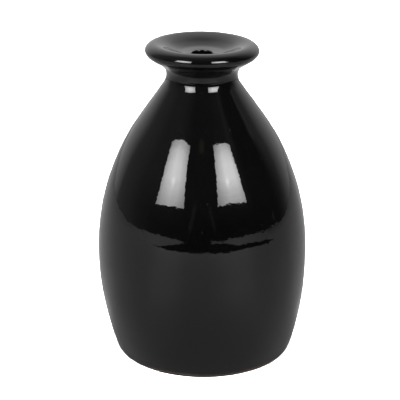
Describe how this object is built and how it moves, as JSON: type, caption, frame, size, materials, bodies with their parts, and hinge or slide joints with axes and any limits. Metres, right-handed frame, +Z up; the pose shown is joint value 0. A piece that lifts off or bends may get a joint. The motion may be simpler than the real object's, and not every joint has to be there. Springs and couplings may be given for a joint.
{
  "type": "bottle vase",
  "caption": "Tall gloss-black clay pot with a wide body, a slim neck and a dished mouth with a small round hole.",
  "frame": {"origin": "centre of the foot ring, on the surface that the pot stands on", "axes": "+Z up along the axis of the pot, through the hole in the mouth; +X and +Y are level, and the pot is round about Z"},
  "size_m": [0.1994, 0.1994, 0.3],
  "materials": {
    "clay": "matt unglazed fired clay, dark grey-brown",
    "slip": "matt fired slip, slightly paler than the clay",
    "coil_clay": "matt fired clay, smeared by hand",
    "black_glaze": "mirror-gloss black glaze"
  },
  "bodies": {
    "root": {"base_slab": "clay", "lower_body": "clay", "upper_body": "clay", "neck_collar": "clay", "mouth_dish": "clay", "foot_seam_slip": "slip", "girth_seam_slip": "slip", "neck_seam_slip": "slip", "mouth_seam_slip": "slip", "foot_seam_coil": "coil_clay", "girth_seam_coil": "coil_clay", "neck_seam_coil": "coil_clay", "outer_glaze": "black_glaze"}
  },
  "joints": []
}
